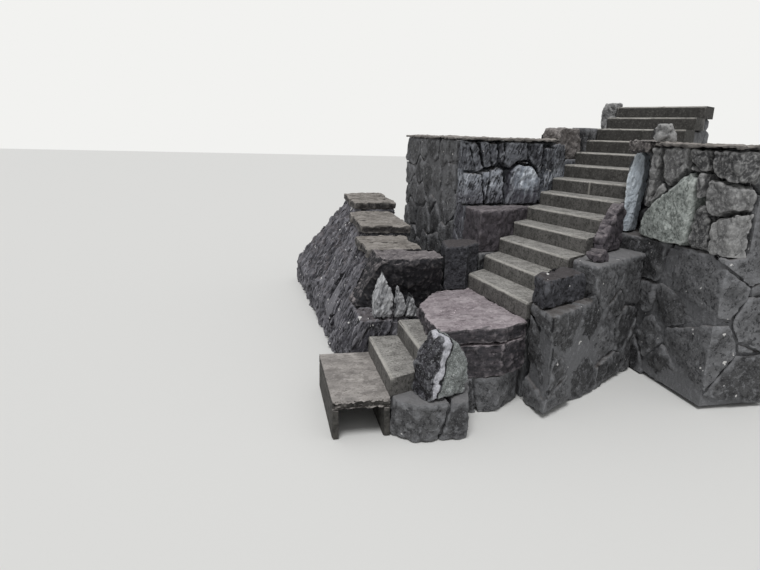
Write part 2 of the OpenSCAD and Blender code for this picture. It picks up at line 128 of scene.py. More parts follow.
def cut_away(stone, cuts):
    """Cuts a stone by planes, each a point and the direction of the side that falls off."""
    pick(stone)
    bpy.ops.object.mode_set(mode="EDIT")
    for point, direction in cuts:
        bpy.ops.mesh.select_all(action="SELECT")
        bpy.ops.mesh.bisect(plane_co=point, plane_no=direction, use_fill=True, clear_outer=True)
    bpy.ops.mesh.select_all(action="SELECT")
    bpy.ops.mesh.normals_make_consistent(inside=False)
    bpy.ops.object.mode_set(mode="OBJECT")


def skin(stone, ease, voxel, shade):
    """Eases a stone's edges, gives it an even skin of small faces, and a shade from 0 to 1."""
    apply(stone, "BEVEL", width=ease, segments=1, limit_method="ANGLE", angle_limit=EASED_FROM)
    apply(stone, "REMESH", mode="VOXEL", voxel_size=voxel)
    shades = stone.data.attributes.new("shade", "FLOAT", "POINT")
    shades.data.foreach_set("value", [shade] * len(stone.data.vertices))


# %% [markdown]
# ## Stone reliefs
#
# Split rock is rough on several scales at once: hollows as wide as a hand, chips with sharp
# creases between them, and grit. Bump in a material would leave the outline of a stone smooth, so
# here noise textures push the mesh itself in and out. The chips come from cells: the distance to
# the second nearest point less that to the nearest is zero along the borders of the cells, and so
# draws creases.

# %% Relief textures
def relief(name, kind, size, **settings):
    """A noise texture with features of a size in metres."""
    texture = bpy.data.textures.new(name, kind)
    texture.noise_scale = size
    for setting, value in settings.items():
        setattr(texture, setting, value)
    return texture


HOLLOWS = relief("hollows", "CLOUDS", 0.2, noise_depth=2)
CHIPS = relief("chips", "VORONOI", 0.13, weight_1=-1, weight_2=1)
GRIT = relief("grit", "CLOUDS", 0.045, noise_type="HARD_NOISE", noise_depth=3)
LAYERS = relief("layers", "CLOUDS", 0.045, noise_type="HARD_NOISE", noise_depth=3)
print(len(bpy.data.textures), "relief textures")

# %% [markdown]
# ## The grain of layered stone
#
# Slate and schist split along their layers, so their ridges run one way. The noise has no
# direction of its own. A stretched empty lends its axes to the texture, and draws the noise out
# along the grain. It moves nothing, and is cleared away at the end.

# %% Guides for the grain
ROAD_GRAIN = (0.36, -0.08, 0.93)
LEAN_GRAIN = (0.42, 0.05, 0.9)
guides = []


def grain_guide(direction, stretch):
    """An empty with its Z axis along the grain, stretched along it."""
    guide = bpy.data.objects.new("grain", None)
    bpy.context.collection.objects.link(guide)
    guide.rotation_mode = "QUATERNION"
    guide.rotation_quaternion = Vector(direction).to_track_quat("Z", "Y")
    guide.scale = (1, 1, stretch)
    guides.append(guide)
    bpy.context.view_layer.update()
    return guide


ROAD_GUIDE = grain_guide(ROAD_GRAIN, 6)
LEAN_GUIDE = grain_guide(LEAN_GRAIN, 5)
FLAT_GUIDE = grain_guide((1, 0.2, 0), 6)
print(len(guides), "grain guides")

# %% [markdown]
# ## Roughening a piece
#
# One texture could hold the whole relief, but then each kind of rock would need its own. Instead
# the reliefs go in one after another, each at its own depth. Where something rests on a wall, its
# bed is set level again. The remesh left far more faces than the relief needs, so a decimate thins
# them where the surface is plain.

# %% Push the reliefs into a piece
BED_DEEP = 0.01
ROCK_CREASE = 24
CAST_CREASE = 35


def keep_off_floor(piece):
    """Sets what a relief pushed under the floor level with it."""
    for vertex in piece.data.vertices:
        vertex.co.z = max(vertex.co.z, 0)


def smooth(piece, crease):
    """Shades a piece smooth, but not over edges that turn by more than crease degrees."""
    pick(piece)
    bpy.ops.object.shade_smooth_by_angle(angle=math.radians(crease))


def roughen(piece, hollows=0.03, chips=0.06, grit=0.014, layers=0.0, guide=None, keep=0.5, bed=None):
    """Pushes the reliefs into a piece and thins its faces. Its foot and its bed stay level."""
    bedded = [vertex.index for vertex in piece.data.vertices if bed and vertex.co.z > bed - BED_DEEP]
    for texture, depth, level in ((HOLLOWS, hollows, 0.5), (CHIPS, chips, 0.2), (GRIT, grit, 0.4)):
        apply(piece, "DISPLACE", texture=texture, strength=depth, mid_level=level,
              texture_coords="LOCAL")
    if layers:
        apply(piece, "DISPLACE", texture=LAYERS, strength=layers, mid_level=0.4,
              texture_coords="OBJECT", texture_coords_object=guide)
    for index in bedded:
        piece.data.vertices[index].co.z = bed
    apply(piece, "DECIMATE", ratio=keep)
    keep_off_floor(piece)
    smooth(piece, ROCK_CREASE)


# %% [markdown]
# ## Materials: one helper and one rule for colour
#
# A colour that is read off a picture is an sRGB value, and Blender's shaders want linear light,
# so one function turns hex codes to linear. Another adds a node with its settings and its links.
# Every pattern reads Object coordinates in metres, so its scale can be worked out from a real
# size: a noise of scale 1 / 0.04 has features of about 40 mm.

# %% Colour, scale and one node at a time
def linear(code):
    """A linear colour from an sRGB hex code such as #8f8d88."""
    parts = [int(code[i:i + 2], 16) / 255 for i in (1, 3, 5)]
    return [p / 12.92 if p <= 0.04045 else ((p + 0.055) / 1.055) ** 2.4 for p in parts] + [1]


def per_mm(size):
    """The scale of a pattern whose features are this many millimetres wide."""
    return 1000 / size


def add(tree, kind, values=None, links=None):
    """Adds one node: values fill its settings or sockets, and links join sockets to its inputs."""
    node = tree.nodes.new(kind)
    for name, value in (values or {}).items():
        if isinstance(name, str) and hasattr(node, name):
            setattr(node, name, value)
        else:
            node.inputs[name].default_value = value
    for name, source in (links or {}).items():
        tree.links.new(source, node.inputs[name])
    return node


# %% [markdown]
# ## What every finish starts from
#
# A finish is one shader with patterns laid over a colour. A pattern is a noise cut to a mask, and
# a mask blends one colour over another, as a painter glazes. Layered rock takes the same noise,
# drawn out along the grain.

# %% Start a material, mask and blend
def start_material(name, roughness, specular=0.3):
    """A new material: its node tree, its shader and the place that its patterns read."""
    material = bpy.data.materials.new(name)
    material.use_nodes = True
    tree = material.node_tree
    shader = tree.nodes["Principled BSDF"]
    shader.inputs["Roughness"].default_value = roughness
    shader.inputs["Specular IOR Level"].default_value = specular
    place = add(tree, "ShaderNodeTexCoord").outputs["Object"]
    print("material", name)
    return material, tree, shader, place


def mask(tree, place, size, low, high, detail=6):
    """Blotches about size millimetres across: 0 where the noise is under low, 1 over high."""
    noise = add(tree, "ShaderNodeTexNoise", {"Scale": per_mm(size), "Detail": detail, "Roughness": 0.65},
                {"Vector": place})
    return add(tree, "ShaderNodeMapRange", {"From Min": low, "From Max": high},
               {"Value": noise.outputs["Fac"]}).outputs["Result"]


def blend(tree, factor, under, over):
    """Lays a colour over another where factor is 1. Either is a hex code or an earlier blend."""
    values, links = {"data_type": "RGBA"}, {}
    if isinstance(factor, float):
        values[0] = factor
    else:
        links[0] = factor
    for socket, colour in ((6, under), (7, over)):
        if isinstance(colour, str):
            values[socket] = linear(colour)
        else:
            links[socket] = colour
    return add(tree, "ShaderNodeMix", values, links).outputs[2]


def share(tree, factor, most):
    """A mask that reaches only part of full strength."""
    return add(tree, "ShaderNodeMath", {"operation": "MULTIPLY", 1: most}, {0: factor}).outputs[0]


def along_grain(tree, place, direction, stretch):
    """The place, drawn out along a direction, so that patterns run in long streaks."""
    turn = Vector(direction).to_track_quat("Z", "Y").to_euler()
    return add(tree, "ShaderNodeMapping", {"vector_type": "TEXTURE", "Rotation": turn,
                                           "Scale": (1, 1, stretch)}, {"Vector": place}).outputs[0]


# %% [markdown]
# ## Masks that know the surface
#
# Weather isn't spread evenly. Rain and feet reach what faces up and knocks find the edges. The
# creases are darkened too, which is painted shade. All this could be painted on stone by stone, but
# the shader already knows which way a surface faces, how high it lies, how sharp it is, and the
# shade that each stone was given. None of these depends on where the camera stands, so they hold
# from every side.

# %% Masks by slope, height, edge and stone
def facing_up(tree, low=0.55, high=0.85):
    """1 on surfaces that face up, where rain and feet keep stone clean and pale."""
    normal = add(tree, "ShaderNodeNewGeometry").outputs["Normal"]
    height = add(tree, "ShaderNodeSeparateXYZ", {}, {0: normal}).outputs["Z"]
    return add(tree, "ShaderNodeMapRange", {"From Min": low, "From Max": high},
               {"Value": height}).outputs["Result"]


def higher_than(tree, place, low, high):
    """0 below one height and 1 above another, in metres. With low above high it is turned round."""
    height = add(tree, "ShaderNodeSeparateXYZ", {}, {0: place}).outputs["Z"]
    return add(tree, "ShaderNodeMapRange", {"From Min": low, "From Max": high},
               {"Value": height}).outputs["Result"]


def edges(tree, low, high):
    """1 on edges that stand out, or in creases where low is above high and both are under 0.5."""
    sharpness = add(tree, "ShaderNodeNewGeometry").outputs["Pointiness"]
    return add(tree, "ShaderNodeMapRange", {"From Min": low, "From Max": high},
               {"Value": sharpness}).outputs["Result"]


def wear_and_shade(tree, colour, worn, crease_shade, wear=0.5):
    """Rubs the edges of a stone pale and darkens its creases with painted shade."""
    colour = blend(tree, share(tree, edges(tree, 0.51, 0.56), wear), colour, worn)
    # Painted shade: creases are darkened towards the given near black.
    return blend(tree, share(tree, edges(tree, 0.495, 0.44), 0.9), colour, crease_shade)


def away_from(tree, place, point, near, far):
    """0 closer to a point than near and 1 further off than far, in metres."""
    distance = add(tree, "ShaderNodeVectorMath", {"operation": "DISTANCE", 1: point},
                   {0: place}).outputs["Value"]
    return add(tree, "ShaderNodeMapRange", {"From Min": near, "From Max": far},
               {"Value": distance}).outputs["Result"]


def own_shade(tree, deep, plain, pale):
    """The colour of one stone: the shade on its mesh runs from deep through plain to pale."""
    shade = add(tree, "ShaderNodeAttribute", {"attribute_name": "shade"}).outputs["Fac"]
    lower = add(tree, "ShaderNodeMapRange", {"From Max": 0.5}, {"Value": shade}).outputs["Result"]
    upper = add(tree, "ShaderNodeMapRange", {"From Min": 0.5}, {"Value": shade}).outputs["Result"]
    return blend(tree, share(tree, upper, 0.6), blend(tree, lower, deep, plain), pale)


def bump(tree, shader, place, size, depth, detail=6):
    """Fine roughness that is too small for the mesh, joined to the shader."""
    noise = add(tree, "ShaderNodeTexNoise", {"Scale": per_mm(size), "Detail": detail}, {"Vector": place})
    links = {"Height": noise.outputs["Fac"]}
    before = shader.inputs["Normal"].links
    if before:
        links["Normal"] = before[0].from_socket
    bumped = add(tree, "ShaderNodeBump", {"Strength": 1, "Distance": depth / 1000}, links)
    tree.links.new(bumped.outputs[0], shader.inputs["Normal"])


# %% [markdown]
# ## Dark fieldstone
#
# Most of the walls are split volcanic stone, weathered nearly black. The eye reads it from four
# things: each stone has its own shade, the edges are rubbed paler and the creases are darkened with
# painted shade, tops that catch the rain are browner, and small white scars are scattered over it.
# In the slates the streaks follow the grain, with thin pale ridges and sooty cracks between the
# layers. The top row of the left wall is darker, and its foot is dark and purple, so that finish
# changes with height. The post and the block beside the landing are black basalt, with hardly a scar.

# %% Dark fieldstone
# Near black: soot in seams and cracks, and the painted shade in creases.
SOOT_AND_SHADE = "#151518"


def dark_fieldstone(name, deep, plain, pale, top, grain=None, stretch=1, rows=(), scar=0.72):
    """Split stone in three tones. A row is where a tint starts, where it is full, and the tint."""
    material, tree, shader, place = start_material(name, roughness=0.88)
    streaked = along_grain(tree, place, grain or UP, stretch)
    for low, high, tint in rows:
        inside = higher_than(tree, place, low, high)
        deep, plain, pale = [blend(tree, share(tree, inside, most), tone, tint)
                             for tone, most in ((deep, 0.75), (plain, 0.8), (pale, 0.5))]
    colour = blend(tree, 0.25, own_shade(tree, deep, plain, pale), plain)
    colour = blend(tree, share(tree, mask(tree, streaked, 120, 0.45, 0.6), 0.5), colour, deep)
    colour = blend(tree, share(tree, mask(tree, streaked, 60, 0.52, 0.64), 0.6), colour, pale)
    colour = blend(tree, share(tree, mask(tree, streaked, 38, 0.52, 0.6), 0.8), colour, deep)
    colour = blend(tree, share(tree, mask(tree, place, 14, 0.56, 0.64), 0.4), colour, pale)
    if grain:
        colour = blend(tree, share(tree, mask(tree, streaked, 48, 0.56, 0.62, detail=4), 0.8),
                       colour, pale)
        colour = blend(tree, share(tree, mask(tree, streaked, 30, 0.53, 0.58, detail=4), 0.9),
                       colour, SOOT_AND_SHADE)
    colour = blend(tree, share(tree, facing_up(tree), 0.75), colour, top)
    # Edges rubbed paler; creases darkened with painted shade.
    colour = wear_and_shade(tree, colour, pale, SOOT_AND_SHADE)
    scars = mask(tree, place, 90, scar, scar + 0.015, detail=2)
    colour = blend(tree, share(tree, scars, 0.9), colour, "#dedddb")
    tree.links.new(colour, shader.inputs["Base Color"])
    bump(tree, shader, streaked, 34, 22)
    bump(tree, shader, place, 8, 4)
    return material


WALL_STONE = dark_fieldstone("dark_fieldstone", "#2c2c2e", "#535354", "#8e8f92", "#64605e")
ROAD_STONE = dark_fieldstone("split_slate", "#1b1b1f", "#414046", "#929197", "#6b6668",
                             grain=ROAD_GRAIN, stretch=7, scar=0.685)
LEAN_STONE = dark_fieldstone("leaning_slate", "#3b3c43", "#858a93", "#c0c4cb", "#6b6866",
                             grain=LEAN_GRAIN, stretch=4,
                             rows=((1.92, 1.75, "#47434b"), (2.09, 2.12, "#3f3f44")))
BLACK_STONE = dark_fieldstone("black_basalt", "#1b1b1f", "#36363b", "#66676c", "#514c4c", scar=0.75)

# %% [markdown]
# ## Grey-green granite
#
# The big boulder on the right is a coarse, grey-green rock. Fine dark and pale veins lie close
# together in it and climb to the right. The other stones of that wall are the same rock with less
# green and fewer veins, each of its own shade.

# %% Grey-green granite
VEIN_WAY = (0.78, 0.1, 0.62)


def granite(name, deep, plain, pale, veined=0.3):
    """Coarse rock in three tones, veined along one way."""
    material, tree, shader, place = start_material(name, roughness=0.85)
    veins = along_grain(tree, place, VEIN_WAY, 7)
    colour = own_shade(tree, deep, plain, pale)
    colour = blend(tree, share(tree, mask(tree, place, 130, 0.42, 0.62), 0.4), colour, deep)
    colour = blend(tree, share(tree, mask(tree, veins, 36, 0.48, 0.58), veined), colour, deep)
    colour = blend(tree, share(tree, mask(tree, veins, 28, 0.54, 0.62), veined), colour, pale)
    colour = blend(tree, share(tree, mask(tree, place, 30, 0.52, 0.64), 0.55), colour, pale)
    colour = blend(tree, share(tree, mask(tree, place, 22, 0.54, 0.62), 0.4), colour, deep)
    colour = blend(tree, share(tree, facing_up(tree), 0.35), colour, pale)
    # Edges rubbed paler; creases darkened with painted shade.
    colour = wear_and_shade(tree, colour, pale, SOOT_AND_SHADE)
    tree.links.new(colour, shader.inputs["Base Color"])
    bump(tree, shader, place, 30, 14)
    bump(tree, shader, place, 8, 4)
    return material


GREEN_STONE = granite("grey_green_granite", "#585e5a", "#979e9a", "#c6cbc7", veined=0.75)
GREY_STONE = granite("grey_fieldstone", "#4b4b4c", "#858585", "#b5b5b4")
BROWN_STONE = granite("brown_fieldstone", "#3c393a", "#6b6664", "#a39e9b")

# %% [markdown]
# ## Mauve flagstone
#
# The landing and the copings are a riven stone that splits in flat layers. Its tops are mauve to
# brown with a few pale chips, and its broken sides are nearly black. Each could be a material of
# its own, put on face by face, but the slope of the surface already tells the two apart.

# %% Mauve flagstone
def flagstone(name, side, line, top, worn, chip):
    """Layered stone: one colour and its lines on the broken sides, three on the riven top."""
    material, tree, shader, place = start_material(name, roughness=0.82)
    drawn_out = along_grain(tree, place, (1, 0.3, 0), 1.7)
    flat = add(tree, "ShaderNodeMapping", {"Scale": (1, 1, 4)}, {"Vector": place}).outputs[0]
    broken = blend(tree, share(tree, mask(tree, flat, 120, 0.42, 0.64), 0.35), side, line)
    broken = blend(tree, share(tree, mask(tree, place, 40, 0.54, 0.7), 0.25), broken, worn)
    broken = blend(tree, share(tree, mask(tree, place, 55, 0.52, 0.62), 0.6), broken, SOOT_AND_SHADE)
    face = own_shade(tree, top, top, worn)
    face = blend(tree, share(tree, mask(tree, drawn_out, 150, 0.42, 0.6), 0.7), face, worn)
    face = blend(tree, share(tree, mask(tree, drawn_out, 80, 0.52, 0.64), 0.7), face, line)
    face = blend(tree, share(tree, mask(tree, place, 30, 0.54, 0.66), 0.4), face, chip)
    face = blend(tree, mask(tree, place, 85, 0.7, 0.715, detail=3), face, chip)
    colour = blend(tree, facing_up(tree, 0.5, 0.8), broken, face)
    # Edges rubbed paler; creases darkened with painted shade.
    colour = wear_and_shade(tree, colour, worn, SOOT_AND_SHADE, 0.4)
    tree.links.new(colour, shader.inputs["Base Color"])
    bump(tree, shader, drawn_out, 50, 8)
    bump(tree, shader, place, 12, 5)
    return material


LANDING_STONE = flagstone("mauve_flagstone", "#39383c", "#6d6468", "#8c8387", "#b3abae", "#dbcfd3")
COPING_STONE = flagstone("brown_flagstone", "#353334", "#47443f", "#78736e", "#a39e99", "#bdb8b3")
CORNER_STONE = flagstone("black_flagstone", "#28282c", "#353336", "#6a6567", "#928c8c", "#a39d9e")
LEDGE_STONE = flagstone("purple_fieldstone", "#534e53", "#3e3b40", "#625d5f", "#837d80", "#9f9599")

# %% [markdown]
# ## Streaked schist
#
# A few boulders are blue-white schist. Water has drawn dark stains down them, and the rock's own
# layers run the same way, so both are one noise stretched along the boulder's length. The rock is
# smoother than the others, so it shines a little.

# %% Streaked schist
def schist(name, deep, plain, pale, stained=0.8, heart=None):
    """Banded pale rock. A heart is the point round which it is pale, and how far that reaches."""
    material, tree, shader, place = start_material(name, roughness=0.7, specular=0.4)
    if heart:
        point, near, far = heart
        outside = away_from(tree, place, point, near, far)
        plain, pale = [blend(tree, share(tree, outside, most), tone, deep)
                       for tone, most in ((plain, 0.95), (pale, 0.75))]
    streaks = along_grain(tree, place, (0.25, 0, 1), 5)
    colour = own_shade(tree, deep, plain, pale)
    colour = blend(tree, share(tree, mask(tree, streaks, 50, 0.45, 0.6), 0.7), colour, pale)
    colour = blend(tree, share(tree, mask(tree, streaks, 60, 0.53, 0.65), stained), colour, deep)
    colour = blend(tree, share(tree, mask(tree, streaks, 24, 0.54, 0.62), 0.6), colour, deep)
    colour = blend(tree, share(tree, mask(tree, place, 120, 0.54, 0.64), stained), colour, deep)
    # Edges rubbed paler; creases darkened with painted shade.
    colour = wear_and_shade(tree, colour, pale, SOOT_AND_SHADE)
    tree.links.new(colour, shader.inputs["Base Color"])
    bump(tree, shader, streaks, 16, 7)
    bump(tree, shader, place, 6, 2)
    return material


PALE_STONE = schist("streaked_schist", "#3f3d45", "#b9c3d0", "#eff6fd", stained=0.5,
                    heart=((2.28, 1.98, 2.01), 0.1, 0.24))
SLAB_STONE = schist("pale_slab_schist", "#7f868f", "#b9c3cd", "#dfe7ed", stained=0.3)
WEDGE_STONE = schist("white_schist", "#37383d", "#85868a", "#d0d1d3")

# %% [markdown]
# ## Veined boulder
#
# The boulder at the foot of the steps is two rocks grown together: nearly black with pale flecks on
# the side of the steps, speckled grey-green on the other, with a band of pale quartz and a sooty
# seam between them. The band stands upright and leans a little. Cutting the mesh there would give
# it a border as straight as a ruler. So it is found by measuring how far along the boulder a point
# lies, and noise lets that measure wander.

# %% Veined boulder
def veined_boulder(along, start, width, lean):
    """Dark rock, then quartz, a seam and green rock, laid one after another along a direction."""
    material, tree, shader, place = start_material("quartz_banded_rock", roughness=0.8)
    way = Vector(along).normalized() - UP * lean
    reach = add(tree, "ShaderNodeVectorMath", {"operation": "DOT_PRODUCT", 1: way},
                {0: place}).outputs["Value"]
    wander = add(tree, "ShaderNodeTexNoise", {"Scale": per_mm(150), "Detail": 3},
                 {"Vector": place}).outputs["Fac"]
    reach = add(tree, "ShaderNodeMath", {"operation": "MULTIPLY_ADD", 1: 0.12},
                {0: wander, 2: reach}).outputs[0]
    dark = blend(tree, mask(tree, place, 60, 0.42, 0.66), "#201f22", "#4a494f")
    dark = blend(tree, share(tree, mask(tree, place, 14, 0.57, 0.62), 0.7), dark, "#9a9ca0")
    quartz = blend(tree, mask(tree, place, 30, 0.45, 0.66), "#cbcbd2", "#94959c")
    green = blend(tree, mask(tree, place, 50, 0.4, 0.62), "#606463", "#868b89")
    green = blend(tree, share(tree, mask(tree, place, 12, 0.52, 0.58), 0.7), green, "#b8bcbb")
    colour = dark
    for begins, layer in ((start, quartz), (start + width, SOOT_AND_SHADE), (start + width + 0.02, green)):
        past = add(tree, "ShaderNodeMapRange", {"From Min": begins, "From Max": begins + 0.01},
                   {"Value": reach}).outputs["Result"]
        colour = blend(tree, past, colour, layer)
    # Edges rubbed paler; creases darkened with painted shade.
    colour = wear_and_shade(tree, colour, "#9a9ca0", SOOT_AND_SHADE)
    tree.links.new(colour, shader.inputs["Base Color"])
    bump(tree, shader, place, 24, 10)
    bump(tree, shader, place, 6, 2)
    return material


TOE_STONE = veined_boulder((0.956, 0.292, 0), 0.05, 0.06, 0.25)

# %% [markdown]
# ## Washed concrete
#
# The steps are cast concrete. Rain has washed the cement off, so grains of sand and fine gravel
# show on the treads. Real grains are a few millimetres wide, too fine to show from here, so the
# speckles and pits are drawn at 16 to 24 mm. Feet keep a band along each nosing pale, and water
# has left dark streaks down the risers. The band needs to know where the nosing is, so the step's
# mesh carries it as an attribute named worn.

# %% Washed concrete
def washed_concrete():
    """Sandy concrete with pale nosings, and mortar where the mesh says so."""
    material, tree, shader, place = start_material("washed_concrete", roughness=0.9)
    worn = add(tree, "ShaderNodeAttribute", {"attribute_name": "worn"}).outputs["Fac"]
    mortar = add(tree, "ShaderNodeAttribute", {"attribute_name": "mortar"}).outputs["Fac"]
    drips = along_grain(tree, place, UP, 2)
    riser = blend(tree, mask(tree, place, 150, 0.36, 0.66), "#7d7b78", "#63615f")
    riser = blend(tree, share(tree, mask(tree, drips, 70, 0.48, 0.62), 0.6), riser, "#4a4947")
    riser = blend(tree, share(tree, mask(tree, place, 34, 0.52, 0.6), 0.6), riser, "#32312e")
    # Risers darker higher up the flight: partly algae and dirt, partly painted shade.
    riser = blend(tree, share(tree, higher_than(tree, place, 1.2, 2.4), 0.7), riser, "#2b2a28")
    tread = blend(tree, mask(tree, place, 150, 0.38, 0.62), "#7e7c79", "#a19f9b")
    tread = blend(tree, share(tree, mask(tree, place, 60, 0.52, 0.62), 0.6), tread, "#5d5b58")
    tread = blend(tree, share(tree, mask(tree, place, 16, 0.54, 0.62, detail=3), 0.45), tread, "#b7b5b0")
    riser = blend(tree, share(tree, mask(tree, place, 24, 0.56, 0.64, detail=3), 0.2), riser, "#a09e99")
    colour = blend(tree, facing_up(tree, 0.4, 0.7), riser, tread)
    pits = mask(tree, place, 20, 0.56, 0.62, detail=3)
    colour = blend(tree, share(tree, pits, 0.6), colour, "#3a3936")
    broken = add(tree, "ShaderNodeMath", {"operation": "MULTIPLY"},
                 {0: worn, 1: mask(tree, place, 60, 0.2, 0.5)}).outputs[0]
    colour = blend(tree, share(tree, broken, 0.8), colour, "#b9b6b0")
    colour = blend(tree, share(tree, mortar, 0.7), colour, "#b1aea7")
    # Painted shade: creases of the steps are darkened.
    colour = blend(tree, share(tree, edges(tree, 0.49, 0.42), 0.8), colour, "#2e2d2b")
    tree.links.new(colour, shader.inputs["Base Color"])
    bump(tree, shader, place, 14, 4)
    bump(tree, shader, place, 4, 2)
    return material


STEP_CONCRETE = washed_concrete()

# %% [markdown]
# ## Trowelled concrete
#
# The entry slab was cast in place and floated smooth. It has worn to pale patches in the middle
# and along its broken near edge, with darker damp patches between. Its sides are much darker than its
# top.
# Its grit is drawn coarser than it is as well, at 18 to 20 mm, so that it shows from here.

# %% Trowelled concrete
def trowelled_concrete():
    """Smooth concrete with pale and damp patches, dark on its sides."""
    material, tree, shader, place = start_material("trowelled_concrete", roughness=0.85)
    drifts = along_grain(tree, place, (1, 0.25, 0), 1.6)
    colour = blend(tree, mask(tree, drifts, 180, 0.38, 0.62), "#84807d", "#a7a29e")
    colour = blend(tree, share(tree, mask(tree, drifts, 60, 0.54, 0.64), 0.6), colour, "#c2bdb9")
    colour = blend(tree, share(tree, mask(tree, place, 90, 0.52, 0.62), 0.6), colour, "#716d6a")
    colour = blend(tree, share(tree, mask(tree, place, 20, 0.55, 0.63, detail=3), 0.5), colour, "#5a5653")
    under = blend(tree, mask(tree, place, 60, 0.45, 0.6), "#4d4b48", "#343331")
    # The sides are made much darker than the top, by their slope alone.
    colour = blend(tree, facing_up(tree, 0.2, 0.6), under, colour)
    tree.links.new(colour, shader.inputs["Base Color"])
    bump(tree, shader, place, 18, 3)
    bump(tree, shader, place, 4, 1.5)
    return material


SLAB_CONCRETE = trowelled_concrete()
print(len(bpy.data.materials), "materials in all")

# %% [markdown]
# ## Finishing a piece
#
# Each finished piece is named, takes its material, rides on the one body and hides the solid that
# it stands for.

# %% Finish a piece
made = {}


def finish(piece, name, material, slot, *nodes):
    """Names a piece, gives it its material, and hides the nodes that it stands for."""
    piece.name = name
    piece.data.name = name
    piece.data.materials.clear()
    piece.data.materials.append(material)
    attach(piece, "root")
    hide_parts(*nodes)
    piece.data.calc_loop_triangles()
    made[name] = len(piece.data.loop_triangles)
    print(name, made[name], "triangles")


# %% [markdown]
# ## Fitted boulder masonry
#
# A wall of fitted boulders could be modelled stone by stone, but no two stones are alike and each
# must fit its neighbours. There is a quicker way that gives the same thing: choose a middle for
# every stone, in staggered courses with some chance in them, and let each stone take what lies
# nearest to its middle. Only middles that lie well inside the wall count.

# %% Choose the middles of the stones
WANDER = 0.32
INSIDE = 0.04


def stone_middles(block, spacing, chance):
    """Points in a block, in staggered courses, each with the surface nearest to it and its normal."""
    corners = [vertex.co for vertex in block.data.vertices]
    low = Vector([min(c[i] for c in corners) for i in range(3)])
    high = Vector([max(c[i] for c in corners) for i in range(3)])
    counts = [max(1, round((high[i] - low[i]) / spacing[i])) for i in range(3)]
    step = Vector([(high[i] - low[i]) / counts[i] for i in range(3)])
    middles = []
    for course in range(counts[2]):
        stagger = 0.5 * (course % 2)
        for j in range(-1, counts[1] + 1):
            for i in range(-1, counts[0] + 1):
                where = (i + stagger * (counts[0] > 2), j + stagger * (counts[1] > 2), course)
                at = Vector([low[a] + step[a] * (where[a] + 0.5 + chance.uniform(-WANDER, WANDER))
                             for a in range(3)])
                near, normal = block.closest_point_on_mesh(at)[1:3]
                if (at - near).dot(normal) < -INSIDE:
                    middles.append((at, near, normal))
    return middles


# %% [markdown]
# ## One stone of a wall
#
# To make one stone, start a cube round its middle and cut that halfway to the middle of each
# neighbour. What is left is the room that belongs to it. In slate the stones are long and lean,
# which is the same cut with distances along the grain counted for less. Three more cuts through
# the wall's face split the stone to slightly tilted facets of its own.

# %% Cut the room of one stone, and its facets
NEIGHBOURS = 16
CUBE = 3
FACETS = 3
TILT = 0.2
FACET_DEEP = 0.012


def nearness_along(grain, stretch):
    """The matrix that measures how near two points are, when the grain counts for less."""
    grain = Vector(grain).normalized()
    nearness = Matrix.Identity(3)
    for row in range(3):
        for column in range(3):
            nearness[row][column] -= (1 - 1 / stretch ** 2) * grain[row] * grain[column]
    return nearness


def room_of(at, middles, nearness, joint):
    """A cube round a point, cut back to the part that lies nearest to it, less half a joint."""
    others = sorted((other[0] - at for other in middles if other[0] != at),
                    key=lambda way: (nearness @ way).dot(way))[:NEIGHBOURS]
    cuts = []
    for way in others:
        across = (nearness @ way).normalized()
        cuts.append((at + way / 2 - across * joint / 2, across))
    bpy.ops.object.select_all(action="DESELECT")
    bpy.ops.mesh.primitive_cube_add(size=CUBE, location=at)
    stone = bpy.context.object
    bpy.ops.object.transform_apply()
    cut_away(stone, cuts)
    return stone


def face_cuts(near, normal, chance):
    """Planes through a wall's face near a point, each tilted a little in a chance direction."""
    cuts = []
    for split in range(FACETS):
        lean = Vector([chance.uniform(-TILT, TILT) for a in range(3)])
        cuts.append((near - normal * chance.uniform(0, FACET_DEEP), (normal + lean).normalized()))
    return cuts


# %% [markdown]
# ## A whole wall
#
# What a stone keeps is the part of its room that lies inside the wall, so a Boolean takes the two
# together. Stones that don't reach the surface are never seen, and go. The facets are left out
# round an inner corner, where such a plane would take off half the stone, and on a level top that
# carries a coping. A real wall is packed behind its face, so the joints end in a heart: the wall's
# own block, a little smaller.

# %% Cut a wall into fitted stones
BULGE = 0.03
LEVEL_FROM = 0.5
SKIN_DEEP = 0.002
HEART_DEPTH = 0.07


def fitted_stones(node, spacing, seed, grain=UP, stretch=1.0, joint=0.008, ease=0.018, voxel=0.02):
    """Replaces a wall's block by stones that fit, and returns them as one object."""
    chance = random.Random(seed)
    block = rough_copy(node)
    nearness = nearness_along(grain, stretch)
    middles = stone_middles(block, spacing, chance)
    stones = []
    for at, near, normal in middles:
        stone = room_of(at, middles, nearness, joint)
        apply(stone, "BOOLEAN", operation="INTERSECT", solver="MANIFOLD", object=block)
        corners = [vertex.co for vertex in stone.data.vertices]
        if not any((block.closest_point_on_mesh(c)[1] - c).length < SKIN_DEEP for c in corners):
            bpy.data.objects.remove(stone)
            continue
        facets = face_cuts(near, normal, chance)
        bulge = max((corner - near).dot(normal) for corner in corners)
        if bulge < BULGE and normal.z < LEVEL_FROM:
            cut_away(stone, facets)
        skin(stone, ease, voxel, chance.random())
        stones.append(stone)
    apply(block, "DISPLACE", strength=-HEART_DEPTH, mid_level=0)
    print(node, len(stones), "stones")
    return joined(stones + [block])


# %% [markdown]
# ## The long leaning wall
#
# The three bays of this wall and its corner are one leaning field of split slate. The stones are
# long and thin, and they lean the same way all along, so the face reads as slanting streaks more
# than as blocks. All are cut with the same grain. The skin gets coarser from bay to bay, because
# each one stands further from the eye.

# %% Slates of the long wall and its corner
BAYS = ("near", "middle", "far")
SKINS = {"near": 0.014, "middle": 0.023, "far": 0.03}


